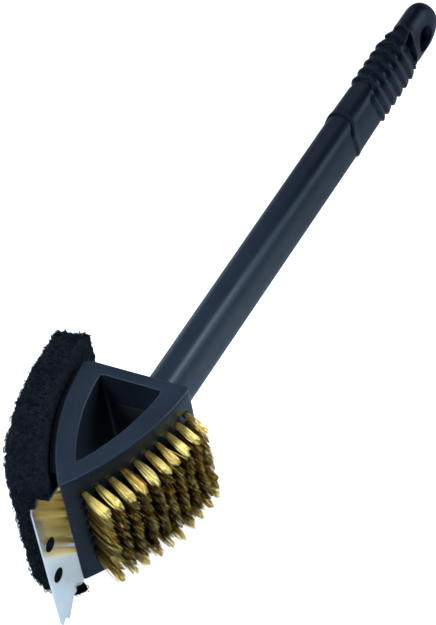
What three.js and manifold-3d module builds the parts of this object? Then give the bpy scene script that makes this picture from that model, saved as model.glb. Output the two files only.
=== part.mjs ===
// Long-handled grill cleaning brush, in millimetres, +Z up, lying on its side.
//
// The design frame runs from the nose of the head: +X along the handle, -Y the
// side with the brass bristles, +Y the side with the scouring pad, and Z across
// the width with 0 in the middle. The last lines move the finished assembly so
// that its origin is at the bottom centre of its box.
import * as THREE from 'three';
import { mergeVertices } from 'three/addons/utils/BufferGeometryUtils.js';
import Module from 'manifold-3d';

const wasm = await Module();
wasm.setup();

// ---------------------------------------------------------------- dimensions
const GAP = 0.3; // clearance kept between pieces that touch

// Head: a hollow prism whose two long sides bow outwards from nose to back wall.
const HEAD_LENGTH = 83.6;
const HEAD_HALF_WIDTH = 35.4;
const BACK_HALF_HEIGHT = 31;
const SIDE_BOW = 7.1;
const NOSE_ROUND = 3.5;
const CORNER_ROUND = 5;
const EDGE_CHAMFER = 0.8;
const HOLLOW_NOSE = 18.6;
const BACK_WALL = 7.4;
const HOLLOW_HALF_HEIGHT = 17.9;
const HOLLOW_BOW = 3.7;
const HOLLOW_ROUND = 2.5;

// Handle: a bar with a soft-cornered oval section, seated in the back wall.
const HANDLE_END = 427.2;
const HANDLE_HALF_WIDTH = 14.4;
const HANDLE_HALF_THICKNESS = 9.2;
const SECTION_POWER = 3;
const SECTION_SIDES = 20;
const GRIP_START = 312;
const GRIP_HALF_WIDTH = 13.7;
const GRIP_HALF_THICKNESS = 8.6;
const FIRST_RIB = 319;
const RIB_ROW_START = 349;
const RIB_PITCH = 7.9;
const RIB_COUNT = 7;
const RIB_HEIGHT = 1.5;
const RIB_BASE = 5.4;
const RIB_CREST = 2.4;
const KNOB_RADIUS = 15.6;
const KNOB_HALF_THICKNESS = 7;
const HANGING_HOLE_X = 405.5;
const HANGING_HOLE_RADIUS = 6.5;
const TENON_WIDTH = 24;
const TENON_THICKNESS = 12.4;
const CORE_END = 300;
const CORE_WIDTH = 6;
const CORE_THICKNESS = 8;
const CORE_OFFSET = 7.2;

// Handle fastening, inside the hollow of the head.
const RETAINER_WIDTH = 34;
const RETAINER_HEIGHT = 20;
const RETAINER_THICKNESS = 1.5;
const HANDLE_SCREW = { shank: 2, length: 34, head: 4.4, headHeight: 2.6 };

// Scraper blade, in the middle plane of the head.
const BLADE_THICKNESS = 1;
const BLADE_TAIL = 12;
const BLADE_HALF_WIDTH = 35.2;
const BLADE_FRONT = -24.4;
const BLADE_HOLE = { x: -17.1, z: 11.5, radius: 4.1 };
const BLADE_SCREW = { shank: 1.5, length: 7.6, head: 2.8, headHeight: 1.8 };
const BLADE_SCREW_AT = { x: 8.5, y: 3.2, z: 29.6 };

// Bristle field: straight columns across the width, each tuft set in a hole.
const COLUMNS = 10;
const ROWS = 8;
const FIRST_COLUMN = 0.135; // places along the bowed side, 0 at the nose
const LAST_COLUMN = 0.903;
const ROW_SPAN = 47.4;
const TUFT_TILT = THREE.MathUtils.degToRad(25); // towards the nose, off -Y
const TUFT_ROOT_RADIUS = 1.6;
const TUFT_TIP_RADIUS = 2.9;
const TUFT_LENGTH_NOSE = 21.5;
const TUFT_LENGTH_BACK = 17.5;
const TUFT_DEPTH = 4.6;
const TUFT_SIDES = 6;
const ANCHOR_WIDTH = 1.8;
const ANCHOR_HEIGHT = 1.4;

// Scouring pad and the plate that carries it.
const PAD_HALF_WIDTH = 41;
const PLATE_THICKNESS = 2.2;
const PLATE_HALF_WIDTH = 33;
const PLATE_FROM = 0.14;
const PLATE_TO = 0.96;
const PAD_OVERRUN = 13.5;
const PAD_SCREW = { shank: 1.5, length: 9, head: 3.2, headHeight: 1.4 };
const PAD_SCREW_AT = { u: 0.52, z: 20 };

// ----------------------------------------------------------------- materials
const moulded = (color, roughness) => new THREE.MeshStandardMaterial({ color, roughness, metalness: 0 });
const metal = (color, roughness) => new THREE.MeshStandardMaterial({ color, roughness, metalness: 1 });
const MATERIALS = {
  plastic: moulded(0x1d2733, 0.48),
  backing: moulded(0x15181c, 0.7),
  pad: moulded(0x14171d, 0.95),
  brass: metal(0xc9a24c, 0.35),
  stainless: metal(0xc9cfd2, 0.28),
  zinc: metal(0x9a9fa3, 0.4),
};

// ------------------------------------------------------------ solid helpers
function toSolid(geometry) {
  const bare = new THREE.BufferGeometry();
  bare.setAttribute('position', geometry.getAttribute('position'));
  bare.setIndex(geometry.getIndex());
  const merged = mergeVertices(bare, 1e-4);
  const index = merged.getIndex().array;
  const kept = [];
  for (let i = 0; i < index.length; i += 3) {
    const [a, b, c] = [index[i], index[i + 1], index[i + 2]];
    if (a !== b && b !== c && c !== a) kept.push(a, b, c);
  }
  return new wasm.Manifold(new wasm.Mesh({
    numProp: 3,
    vertProperties: new Float32Array(merged.getAttribute('position').array),
    triVerts: new Uint32Array(kept),
  }));
}

function toGeometry(solid) {
  const mesh = solid.getMesh();
  const geometry = new THREE.BufferGeometry();
  geometry.setAttribute('position', new THREE.BufferAttribute(mesh.vertProperties, 3));
  geometry.setIndex(new THREE.BufferAttribute(mesh.triVerts, 1));
  geometry.computeVertexNormals();
  return geometry;
}

const cut = (body, ...tools) => tools.reduce((left, tool) => left.subtract(tool), body);
const join = (...bodies) => bodies.reduce((sum, body) => sum.add(body));

// A box given by its size and its middle.
function block(sizeX, sizeY, sizeZ, x, y = 0, z = 0) {
  return toSolid(new THREE.BoxGeometry(sizeX, sizeY, sizeZ).translate(x, y, z));
}

// A flat outline in the XY plane, extruded evenly to both sides of Z = 0.
function prism(shape, halfWidth, chamfer = 0, curveSegments = 6) {
  const geometry = new THREE.ExtrudeGeometry(shape, {
    depth: 2 * (halfWidth - chamfer),
    bevelEnabled: chamfer > 0,
    bevelThickness: chamfer,
    bevelSize: chamfer,
    bevelOffset: -chamfer,
    bevelSegments: 1,
    curveSegments,
  });
  return toSolid(geometry.translate(0, 0, chamfer - halfWidth));
}

// A turned piece: the profile is given as [radius, height] pairs, its axis runs
// from `origin` along `direction`.
function turned(profile, origin, direction, segments = 12) {
  const points = profile.map(([radius, height]) => new THREE.Vector2(radius, height));
  const geometry = new THREE.LatheGeometry(points, segments);
  const spin = new THREE.Quaternion().setFromUnitVectors(new THREE.Vector3(0, 1, 0), direction);
  geometry.applyQuaternion(spin);
  return toSolid(geometry.translate(origin.x, origin.y, origin.z));
}

// A screw whose head sits on the surface at `seat` and whose shank runs along
// `direction`. With `grow` it is the clearance shape that the screw needs.
function screw(size, seat, direction, grow = 0) {
  const head = size.head + grow;
  const shank = size.shank + grow;
  const top = -size.headHeight - grow;
  const tip = size.length + grow;
  const point = size.shank * 0.8;
  const profile = grow > 0
    ? [[0, top - 20], [head, top - 20], [head, grow], [shank, grow], [shank, tip], [0, tip]]
    : [[0, top], [head * 0.7, top], [head, top + size.headHeight * 0.6], [head, 0], [shank, 0],
      [shank, tip - point], [shank * 0.35, tip], [0, tip]];
  return turned(profile, seat, direction);
}

// ------------------------------------------------------------- head outlines
// One bowed side from the nose to a back corner: an arc whose middle stands
// `bow` outside its chord. Its points are named by u, 0 at the nose to 1.
function bowedSide(noseX, backX, cornerY, bow) {
  const along = new THREE.Vector2(backX - noseX, cornerY);
  const half = along.length() / 2;
  along.normalize();
  const out = new THREE.Vector2(-along.y, along.x).multiplyScalar(Math.sign(cornerY));
  const radius = (half * half + bow * bow) / (2 * bow);
  const reach = Math.asin(half / radius);
  const centre = new THREE.Vector2((noseX + backX) / 2, cornerY / 2).addScaledVector(out, bow - radius);
  const normal = (u) => {
    const angle = (2 * u - 1) * reach;
    return along.clone().multiplyScalar(Math.sin(angle)).addScaledVector(out, Math.cos(angle));
  };
  const point = (u, stand = 0) => centre.clone().addScaledVector(normal(u), radius + stand);
  return { point, normal, length: 2 * reach * radius };
}

const brushSide = bowedSide(0, HEAD_LENGTH, -BACK_HALF_HEIGHT, SIDE_BOW);
const padSide = bowedSide(0, HEAD_LENGTH, BACK_HALF_HEIGHT, SIDE_BOW);

// Steps from one number to another, both ends included.
function steps(from, to, count) {
  return Array.from({ length: count + 1 }, (_, i) => from + ((to - from) * i) / count);
}

// The closed triangle with bowed sides and rounded corners.
function bowedTriangle(noseX, backX, halfHeight, bow, noseRound, cornerRound, sideSteps) {
  const lower = bowedSide(noseX, backX, -halfHeight, bow);
  const upper = bowedSide(noseX, backX, halfHeight, bow);
  const first = noseRound / lower.length;
  const last = 1 - cornerRound / lower.length;
  const outline = new THREE.Shape();
  outline.moveTo(...lower.point(first));
  steps(first, last, sideSteps).slice(1).forEach((u) => outline.lineTo(...lower.point(u)));
  outline.quadraticCurveTo(backX, -halfHeight, backX, cornerRound - halfHeight);
  outline.lineTo(backX, halfHeight - cornerRound);
  outline.quadraticCurveTo(backX, halfHeight, ...upper.point(last));
  steps(last, first, sideSteps).slice(1).forEach((u) => outline.lineTo(...upper.point(u)));
  outline.quadraticCurveTo(noseX, 0, ...lower.point(first));
  return outline;
}

// ------------------------------------------------------------------ bristles
const TUFT_DIRECTION = new THREE.Vector3(-Math.sin(TUFT_TILT), -Math.cos(TUFT_TILT), 0);

// One column of tufts across the width. The tufts share the folded strip that
// anchors them under the surface of the wall. `grow` gives the clearance shape.
function bristleColumn(index, grow = 0) {
  const place = index / (COLUMNS - 1);
  const root = brushSide.point(THREE.MathUtils.lerp(FIRST_COLUMN, LAST_COLUMN, place));
  const length = THREE.MathUtils.lerp(TUFT_LENGTH_NOSE, TUFT_LENGTH_BACK, place);
  const depth = TUFT_DEPTH + grow;
  const rootRadius = TUFT_ROOT_RADIUS + grow;
  const profile = [[0, -depth], [rootRadius, -depth], [TUFT_TIP_RADIUS + grow, length], [0, length]];
  const tufts = steps(-ROW_SPAN / 2, ROW_SPAN / 2, ROWS - 1).map((z) => (
    turned(profile, new THREE.Vector3(root.x, root.y, z), TUFT_DIRECTION, TUFT_SIDES)
  ));
  const strip = new THREE.BoxGeometry(ANCHOR_WIDTH + 2 * grow, ANCHOR_HEIGHT + 2 * grow, ROW_SPAN + 2 * grow);
  strip.translate(0, ANCHOR_HEIGHT / 2 - TUFT_DEPTH, 0);
  strip.rotateZ(Math.atan2(TUFT_DIRECTION.y, TUFT_DIRECTION.x) - Math.PI / 2);
  return join(toSolid(strip.translate(root.x, root.y, 0)), ...tufts);
}

// ---------------------------------------------------------------- fastenings
const X_AXIS = new THREE.Vector3(1, 0, 0);
const INNER_FACE = HEAD_LENGTH - BACK_WALL;

const handleScrewSeat = new THREE.Vector3(INNER_FACE - RETAINER_THICKNESS - 2 * GAP, 0, 0);
const bladeScrewSeats = [-1, 1].map((side) => (
  new THREE.Vector3(BLADE_SCREW_AT.x, BLADE_SCREW_AT.y, side * BLADE_SCREW_AT.z)
));
const bladeScrewDirection = new THREE.Vector3(0, -1, 0);
const padScrewNormal = padSide.normal(PAD_SCREW_AT.u);
const padScrewDirection = new THREE.Vector3(-padScrewNormal.x, -padScrewNormal.y, 0);
const padScrewSeats = [-1, 1].map((side) => {
  const seat = padSide.point(PAD_SCREW_AT.u, GAP + PLATE_THICKNESS - PAD_SCREW.headHeight);
  return new THREE.Vector3(seat.x, seat.y, side * PAD_SCREW_AT.z);
});

// ---------------------------------------------------------------- head frame
function headFrame() {
  const outline = bowedTriangle(0, HEAD_LENGTH, BACK_HALF_HEIGHT, SIDE_BOW, NOSE_ROUND, CORNER_ROUND, 12);
  outline.holes.push(
    bowedTriangle(HOLLOW_NOSE, INNER_FACE, HOLLOW_HALF_HEIGHT, HOLLOW_BOW, HOLLOW_ROUND, HOLLOW_ROUND, 8),
  );
  const tenonHole = block(BACK_WALL + 4, TENON_THICKNESS + 2 * GAP, TENON_WIDTH + 2 * GAP, HEAD_LENGTH - BACK_WALL / 2);
  const slotLength = BLADE_TAIL + GAP + 10;
  const bladeSlot = block(
    slotLength,
    BLADE_THICKNESS + 2 * GAP,
    4 * BLADE_HALF_WIDTH,
    BLADE_TAIL + GAP - slotLength / 2,
  );
  return cut(
    prism(outline, HEAD_HALF_WIDTH, EDGE_CHAMFER),
    tenonHole,
    bladeSlot,
    ...bladeScrewSeats.map((seat) => screw(BLADE_SCREW, seat, bladeScrewDirection, GAP)),
    ...padScrewSeats.map((seat) => screw(PAD_SCREW, seat, padScrewDirection, GAP)),
    ...Array.from({ length: COLUMNS }, (_, i) => bristleColumn(i, GAP)),
  );
}

// -------------------------------------------------------------------- handle
// Sections along the handle as [x, half width, half thickness].
function handleSections() {
  const sections = [
    [HEAD_LENGTH + GAP, HANDLE_HALF_WIDTH + 1, HANDLE_HALF_THICKNESS + 1],
    [HEAD_LENGTH + 3, HANDLE_HALF_WIDTH + 1, HANDLE_HALF_THICKNESS + 1],
    [HEAD_LENGTH + 5, HANDLE_HALF_WIDTH, HANDLE_HALF_THICKNESS],
    [GRIP_START, HANDLE_HALF_WIDTH, HANDLE_HALF_THICKNESS],
  ];
  const ribRow = Array.from({ length: RIB_COUNT }, (_, i) => RIB_ROW_START + i * RIB_PITCH);
  for (const x of [FIRST_RIB, ...ribRow]) {
    for (const [offset, height] of [[-RIB_BASE, 0], [-RIB_CREST, RIB_HEIGHT], [RIB_CREST, RIB_HEIGHT], [RIB_BASE, 0]]) {
      sections.push([x + offset / 2, GRIP_HALF_WIDTH + height, GRIP_HALF_THICKNESS + height]);
    }
  }
  const knobCentre = HANDLE_END - KNOB_RADIUS;
  sections.push([knobCentre - 8, GRIP_HALF_WIDTH + 1.2, KNOB_HALF_THICKNESS]);
  for (const angle of steps(0, Math.PI / 2, 6).slice(0, -1)) {
    const edge = KNOB_HALF_THICKNESS * Math.cos(angle) ** 0.4;
    sections.push([knobCentre + KNOB_RADIUS * Math.sin(angle), KNOB_RADIUS * Math.cos(angle), edge]);
  }
  return sections;
}

// A lathe of unit radius whose rings are reshaped into soft-cornered ovals.
function ovalBar(sections) {
  const last = sections.at(-1);
  const tip = [last[0] + 0.6, 0, 0];
  const rings = [[sections[0][0], 0, 0], ...sections, tip];
  const profile = rings.map(([x, halfWidth]) => new THREE.Vector2(halfWidth > 0 ? 1 : 0, x));
  const bar = new THREE.LatheGeometry(profile, SECTION_SIDES);
  const position = bar.getAttribute('position');
  const soften = (value) => Math.sign(value) * Math.abs(value) ** (2 / SECTION_POWER);
  for (let i = 0; i < position.count; i += 1) {
    const [x, halfWidth, halfThickness] = rings[i % rings.length];
    const across = soften(Math.round(position.getX(i) * 1e6) / 1e6);
    const through = soften(Math.round(position.getZ(i) * 1e6) / 1e6);
    position.setXYZ(i, x, halfThickness * through, halfWidth * across);
  }
  return toSolid(bar);
}

function handle() {
  const tenonStart = INNER_FACE + GAP;
  const tenonEnd = HEAD_LENGTH + 2;
  const tenon = block(tenonEnd - tenonStart, TENON_THICKNESS, TENON_WIDTH, (tenonStart + tenonEnd) / 2);
  const coreStart = INNER_FACE - 1;
  const cores = [-1, 1].map((side) => block(
    CORE_END - coreStart,
    CORE_THICKNESS,
    CORE_WIDTH,
    (coreStart + CORE_END) / 2,
    0,
    side * CORE_OFFSET,
  ));
  const hangingHole = turned(
    [[0, 0], [HANGING_HOLE_RADIUS, 0], [HANGING_HOLE_RADIUS, 40], [0, 40]],
    new THREE.Vector3(HANGING_HOLE_X, 20, 0),
    new THREE.Vector3(0, -1, 0),
    32,
  );
  return cut(
    join(ovalBar(handleSections()), tenon),
    ...cores,
    screw(HANDLE_SCREW, handleScrewSeat, X_AXIS, GAP),
    hangingHole,
  );
}

function retainingPlate() {
  const plate = block(RETAINER_THICKNESS, RETAINER_HEIGHT, RETAINER_WIDTH, INNER_FACE - GAP - RETAINER_THICKNESS / 2);
  return cut(plate, turned(
    [[0, 0], [HANDLE_SCREW.shank + GAP, 0], [HANDLE_SCREW.shank + GAP, 10], [0, 10]],
    handleScrewSeat.clone().setX(handleScrewSeat.x - 2),
    X_AXIS,
  ));
}

// --------------------------------------------------------------------- blade
function scraperBlade() {
  // One half of the outline, from the tail to the middle of the front edge.
  const half = [
    [BLADE_TAIL, BLADE_HALF_WIDTH - 2],
    [BLADE_TAIL - 2, BLADE_HALF_WIDTH],
    [-9.5, BLADE_HALF_WIDTH],
    [-17.2, 45],
    [-19.9, 41.2],
    [-23.4, 43.6],
    [BLADE_FRONT, 41],
  ];
  const mirrored = half.map(([x, z]) => [x, -z]).reverse();
  const outline = new THREE.Shape([...half, ...mirrored].map(([x, z]) => new THREE.Vector2(x, z)));
  for (const side of [-1, 1]) {
    outline.holes.push(new THREE.Path().absarc(BLADE_HOLE.x, side * BLADE_HOLE.z, BLADE_HOLE.radius, 0, 2 * Math.PI));
    outline.holes.push(
      new THREE.Path().absarc(BLADE_SCREW_AT.x, side * BLADE_SCREW_AT.z, BLADE_SCREW.shank + GAP, 0, 2 * Math.PI),
    );
  }
  const sheet = new THREE.ExtrudeGeometry(outline, { depth: BLADE_THICKNESS, bevelEnabled: false, curveSegments: 16 });
  return toSolid(sheet.translate(0, 0, -BLADE_THICKNESS / 2).rotateX(Math.PI / 2));
}

// ----------------------------------------------------------------------- pad
function padBacking() {
  const outline = new THREE.Shape();
  const inner = steps(PLATE_FROM, PLATE_TO, 12).map((u) => padSide.point(u, GAP));
  const outer = steps(PLATE_TO, PLATE_FROM, 12).map((u) => padSide.point(u, GAP + PLATE_THICKNESS));
  outline.setFromPoints([...inner, ...outer]);
  return cut(
    prism(outline, PLATE_HALF_WIDTH),
    ...padScrewSeats.map((seat) => screw(PAD_SCREW, seat, padScrewDirection, GAP)),
  );
}

function scouringPad() {
  const stand = 2 * GAP + PLATE_THICKNESS;
  const runOut = padSide.point(1, stand);
  const nose = padSide.point(0, stand);
  const outline = new THREE.Shape();
  outline.moveTo(-8.6, 1.6);
  outline.lineTo(nose.x - 1, 1.8);
  steps(0, 1, 12).forEach((u) => outline.lineTo(...padSide.point(u, stand)));
  outline.lineTo(runOut.x + PAD_OVERRUN, runOut.y + 0.6);
  outline.lineTo(runOut.x + PAD_OVERRUN - 3, 53.4);
  outline.splineThru([
    new THREE.Vector2(74, 53.2),
    new THREE.Vector2(45, 49.6),
    new THREE.Vector2(21, 42),
    new THREE.Vector2(3, 33.4),
    new THREE.Vector2(-8.4, 24.5),
    new THREE.Vector2(-12.4, 12),
    new THREE.Vector2(-8.6, 1.6),
  ]);
  return prism(outline, PAD_HALF_WIDTH, 0, 3);
}

// ------------------------------------------------------------------ assembly
const assembly = new THREE.Group();

function add(name, solid, material) {
  const mesh = new THREE.Mesh(toGeometry(solid), material);
  mesh.name = name;
  assembly.add(mesh);
}

add('head_frame', headFrame(), MATERIALS.plastic);
add('handle', handle(), MATERIALS.plastic);
add('retaining_plate', retainingPlate(), MATERIALS.zinc);
add('handle_screw', screw(HANDLE_SCREW, handleScrewSeat, X_AXIS), MATERIALS.zinc);
add('scraper_blade', scraperBlade(), MATERIALS.stainless);
bladeScrewSeats.forEach((seat, i) => {
  add(`blade_screw_${i + 1}`, screw(BLADE_SCREW, seat, bladeScrewDirection), MATERIALS.zinc);
});
add('pad_backing', padBacking(), MATERIALS.backing);
padScrewSeats.forEach((seat, i) => {
  add(`pad_screw_${i + 1}`, screw(PAD_SCREW, seat, padScrewDirection), MATERIALS.zinc);
});
add('scouring_pad', scouringPad(), MATERIALS.pad);
for (let i = 0; i < COLUMNS; i += 1) {
  add(`bristle_column_${String(i + 1).padStart(2, '0')}`, bristleColumn(i), MATERIALS.brass);
}

const box = new THREE.Box3().setFromObject(assembly, true);
const middle = box.getCenter(new THREE.Vector3());
assembly.position.set(-middle.x, -middle.y, -box.min.z);

const brush = new THREE.Group();
brush.add(assembly);
brush.updateMatrixWorld(true);

export default brush;
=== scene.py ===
"""Visual model of the long-handled grill cleaning brush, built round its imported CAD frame.

The shapes are worked out in the head's own millimetres: x runs from the nose along
the handle, -y is the side with the brass bristles, +y the side with the pad, and z
crosses the width with 0 in the middle. ORIGIN carries them into the frame, in metres.
"""

import math

import bmesh
import bpy
import numpy as np
from mathutils import Matrix, Vector, noise


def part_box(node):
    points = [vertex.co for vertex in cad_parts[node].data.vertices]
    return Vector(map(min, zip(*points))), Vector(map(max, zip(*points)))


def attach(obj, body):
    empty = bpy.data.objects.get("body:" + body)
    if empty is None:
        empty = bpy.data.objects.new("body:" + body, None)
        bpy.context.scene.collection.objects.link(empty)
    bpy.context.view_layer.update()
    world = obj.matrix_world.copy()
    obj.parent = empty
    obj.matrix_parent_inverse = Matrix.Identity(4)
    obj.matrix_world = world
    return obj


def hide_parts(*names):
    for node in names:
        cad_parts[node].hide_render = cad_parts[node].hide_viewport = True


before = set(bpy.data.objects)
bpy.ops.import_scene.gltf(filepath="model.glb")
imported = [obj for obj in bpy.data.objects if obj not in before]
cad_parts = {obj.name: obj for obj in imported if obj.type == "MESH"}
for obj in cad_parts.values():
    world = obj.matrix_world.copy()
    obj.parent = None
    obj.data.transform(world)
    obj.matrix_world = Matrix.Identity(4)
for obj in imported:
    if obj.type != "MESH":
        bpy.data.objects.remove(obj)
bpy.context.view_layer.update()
rng = np.random.default_rng(11)

MM = 0.001

# ------------------------------------------------------------ driving dimensions, mm
HEAD_LENGTH = 83.6
HEAD_HALF_WIDTH = 35.4
BACK_HALF_HEIGHT = 31.0
SIDE_BOW = 7.1
BACK_WALL = 7.4
HOLLOW_NOSE = 18.6
HOLLOW_HALF_HEIGHT = 17.9
HOLLOW_BOW = 3.7

HANDLE_HALF_WIDTH = 14.6
HANDLE_HALF_THICKNESS = 9.5
HANDLE_END = 427.2
SECTION_POWER = 3.0
KNOB_POWER = 2.05
GRIP_START = 312.0
GRIP_HALF_WIDTH = 14.2
GRIP_HALF_THICKNESS = 9.3
KNOB_RADIUS = 15.6
KNOB_HALF_THICKNESS = 9.0
HANGING_HOLE_X = 405.5
HANGING_HOLE_RADIUS = 6.5

COLUMNS = 10
ROWS = 8
FIRST_COLUMN = 0.135
LAST_COLUMN = 0.903
ROW_SPAN = 47.4
TUFT_TILT = math.radians(25)
TUFT_LENGTHS = (21.5, 17.5)
TUFT_ROOT_RADIUS = 1.3
TUFT_TIP_RADIUS = 2.3
WIRES = 34
WIRE_RADIUS = 0.21

PAD_HALF_WIDTH = 41.0
PAD_STAND = 2.8
PAD_OVERRUN = 14.6

head_lo, head_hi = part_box("head_frame")
blade_lo, blade_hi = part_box("scraper_blade")
ORIGIN = Vector((
    head_hi.x - HEAD_LENGTH * MM,
    (blade_lo.y + blade_hi.y) / 2,
    (head_lo.z + head_hi.z) / 2,
))


def in_frame(points):
    """Points in the head's millimetres, as an array in the frame's metres."""
    return np.asarray(points, float).reshape(-1, 3) * MM + np.array(ORIGIN)


# ------------------------------------------------------------------- camera and stage
CAMERA_AZIMUTH = math.radians(-54.66)
CAMERA_ELEVATION = math.radians(43.61)
CAMERA_ROLL = math.radians(11.35)
CAMERA_DISTANCE = 1.69  # metres
CAMERA_LENS = 184.3
CAMERA_AIM = Vector((162.8, 0, 4))
FLOOR_HALF = 20.0  # metres
FLOOR_COLOUR = (0.42, 0.5, 0.56)
FLOOR_GLOW = (0.24, 0.28, 0.315)
ROOM_GLOW = (0.03, 0.038, 0.05)

# A mix node's colour sockets have the same names as its float ones, so they go by number.
MIX_FIRST = 6
MIX_SECOND = 7
MIX_RESULT = 2


def make_camera():
    cos_e = math.cos(CAMERA_ELEVATION)
    forward = Vector((
        -math.sin(CAMERA_AZIMUTH) * cos_e,
        math.cos(CAMERA_AZIMUTH) * cos_e,
        -math.sin(CAMERA_ELEVATION),
    ))
    level = Vector((math.cos(CAMERA_AZIMUTH), math.sin(CAMERA_AZIMUTH), 0))
    right = level * math.cos(CAMERA_ROLL) - level.cross(forward) * math.sin(CAMERA_ROLL)
    up = right.cross(forward)
    data = bpy.data.cameras.new("camera")
    data.sensor_width = 36
    data.lens = CAMERA_LENS
    camera = bpy.data.objects.new("camera", data)
    bpy.context.scene.collection.objects.link(camera)
    turn = Matrix((right, up, -forward)).transposed().to_4x4()
    place = ORIGIN + CAMERA_AIM * MM - forward * CAMERA_DISTANCE
    camera.matrix_world = Matrix.Translation(place) @ turn
    bpy.context.scene.camera = camera


def area_light(name, direction, distance, size, energy, colour, spread, along=0.06):
    """A soft square light, `distance` metres off in this direction from the place `along`
    the handle that it looks at. Its energy is in watts, its spread in degrees."""
    data = bpy.data.lights.new(name, "AREA")
    data.size = size
    data.energy = energy
    data.color = colour
    data.spread = math.radians(spread)
    light = bpy.data.objects.new(name, data)
    bpy.context.scene.collection.objects.link(light)
    aim = ORIGIN + Vector((along, 0, 0))
    light.location = aim + Vector(direction).normalized() * distance
    light.rotation_euler = (aim - light.location).to_track_quat("-Z", "Y").to_euler()


def white_to_camera(tree, glow):
    """The light that the stage gives the brush; the camera itself sees plain white."""
    ray = tree.nodes.new("ShaderNodeLightPath")
    mix = tree.nodes.new("ShaderNodeMix")
    mix.data_type = "RGBA"
    mix.inputs[MIX_FIRST].default_value = (*glow, 1)
    mix.inputs[MIX_SECOND].default_value = (1, 1, 1, 1)
    tree.links.new(ray.outputs["Is Camera Ray"], mix.inputs["Factor"])
    return mix.outputs[MIX_RESULT]


def make_stage():
    """A dim cool room and a pale glowing floor, which the camera sees as plain white."""
    world = bpy.data.worlds.new("studio")
    world.use_nodes = True
    room = world.node_tree
    room.links.new(white_to_camera(room, ROOM_GLOW), room.nodes["Background"].inputs["Color"])
    bpy.context.scene.world = world

    floor_mesh = bpy.data.meshes.new("floor")
    corners = [(x * FLOOR_HALF, y * FLOOR_HALF, 0) for x, y in ((-1, -1), (1, -1), (1, 1), (-1, 1))]
    floor_mesh.from_pydata(corners, [], [(0, 1, 2, 3)])
    floor = bpy.data.objects.new("floor", floor_mesh)
    bpy.context.scene.collection.objects.link(floor)
    paper = bpy.data.materials.new("floor_paper")
    paper.use_nodes = True
    tree = paper.node_tree
    shader = tree.nodes["Principled BSDF"]
    shader.inputs["Base Color"].default_value = (*FLOOR_COLOUR, 1)
    shader.inputs["Roughness"].default_value = 0.9
    shader.inputs["Specular IOR Level"].default_value = 0.0
    tree.links.new(white_to_camera(tree, FLOOR_GLOW), shader.inputs["Emission Color"])
    shader.inputs["Emission Strength"].default_value = 1.0
    floor_mesh.materials.append(paper)


make_camera()
make_stage()
# name, direction, distance, size, energy, colour, spread and the place it looks at
area_light("top", (0, 0, 1), 1.0, 0.4, 0.9, (0.66, 0.78, 1.0), 60)
area_light("key", (-0.05, 0.6, 0.8), 0.7, 0.26, 0.2, (0.92, 1.0, 0.95), 44)
area_light("left", (-0.82, 0.12, 0.58), 0.45, 0.14, 0.07, (0.95, 1.0, 0.95), 28)
area_light("side", (0.74, -0.66, 0.22), 1.0, 0.5, 0.5, (0.77, 0.88, 1.0), 60)
area_light("corner", (0.62, -0.5, 0.62), 0.34, 0.12, 0.16, (1.0, 1.0, 0.96), 70)
area_light("back", (0.35, 0.9, 0.25), 1.2, 0.6, 0.8, (0.8, 0.9, 1.0), 60, 0.15)
area_light("end", (0.59, 0.42, 0.69), 0.7, 0.3, 0.045, (0.8, 0.92, 1.0), 60, 0.36)
bpy.context.scene.view_settings.view_transform = "Standard"


# -------------------------------------------------------------------------- materials
class Nodes:
    """A short way to write a material's shader nodes."""

    def __init__(self, name):
        self.material = bpy.data.materials.new(name)
        self.material.use_nodes = True
        self.tree = self.material.node_tree
        self.shader = self.tree.nodes["Principled BSDF"]

    def feed(self, socket, value):
        """Links another node's output to a socket, or sets a number or (r, g, b)."""
        if isinstance(value, bpy.types.NodeSocket):
            self.tree.links.new(value, socket)
        elif isinstance(value, tuple):
            socket.default_value = (*value, 1)
        else:
            socket.default_value = value

    def add(self, kind, **inputs):
        node = self.tree.nodes.new("ShaderNode" + kind)
        for name, value in inputs.items():
            self.feed(node.inputs[name], value)
        return node

    def place(self):
        return self.add("TexCoord").outputs["Object"]

    def stretched(self, x, y, z):
        """Object coordinates, squeezed by these factors."""
        mapping = self.add("Mapping", Vector=self.place())
        mapping.inputs["Scale"].default_value = (x, y, z)
        return mapping.outputs["Vector"]

    def grain(self, vector, scale, detail=3.0, roughness=0.55):
        node = self.add("TexNoise", Vector=vector, Scale=scale, Detail=detail, Roughness=roughness)
        return node.outputs["Fac"]

    def ramp(self, fac, *stops):
        """A colour ramp from (position, (r, g, b)) stops."""
        node = self.add("ValToRGB", Fac=fac)
        elements = node.color_ramp.elements
        while len(elements) < len(stops):
            elements.new(0.5)
        for element, (position, colour) in zip(elements, stops):
            element.position = position
            element.color = (*colour, 1)
        return node.outputs["Color"]

    def level(self, fac, low, high, from_low=0.0, from_high=1.0):
        node = self.add("MapRange", Value=fac)
        node.inputs["From Min"].default_value = from_low
        node.inputs["From Max"].default_value = from_high
        node.inputs["To Min"].default_value = low
        node.inputs["To Max"].default_value = high
        return node.outputs["Result"]

    def mixed(self, fac, first, second):
        node = self.tree.nodes.new("ShaderNodeMix")
        node.data_type = "RGBA"
        self.feed(node.inputs["Factor"], fac)
        self.feed(node.inputs[MIX_FIRST], first)
        self.feed(node.inputs[MIX_SECOND], second)
        return node.outputs[MIX_RESULT]

    def bump(self, height, strength, distance, normal=None):
        node = self.add("Bump", Height=height, Strength=strength, Distance=distance)
        if normal is not None:
            self.tree.links.new(normal, node.inputs["Normal"])
        return node.outputs["Normal"]

    def attribute(self, name):
        node = self.tree.nodes.new("ShaderNodeAttribute")
        node.attribute_name = name
        return node.outputs["Fac"]

    def set(self, **inputs):
        """Feeds the material's own shader, with _ for the spaces in its sockets' names."""
        for name, value in inputs.items():
            self.feed(self.shader.inputs[name.replace("_", " ")], value)
        return self.material


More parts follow.
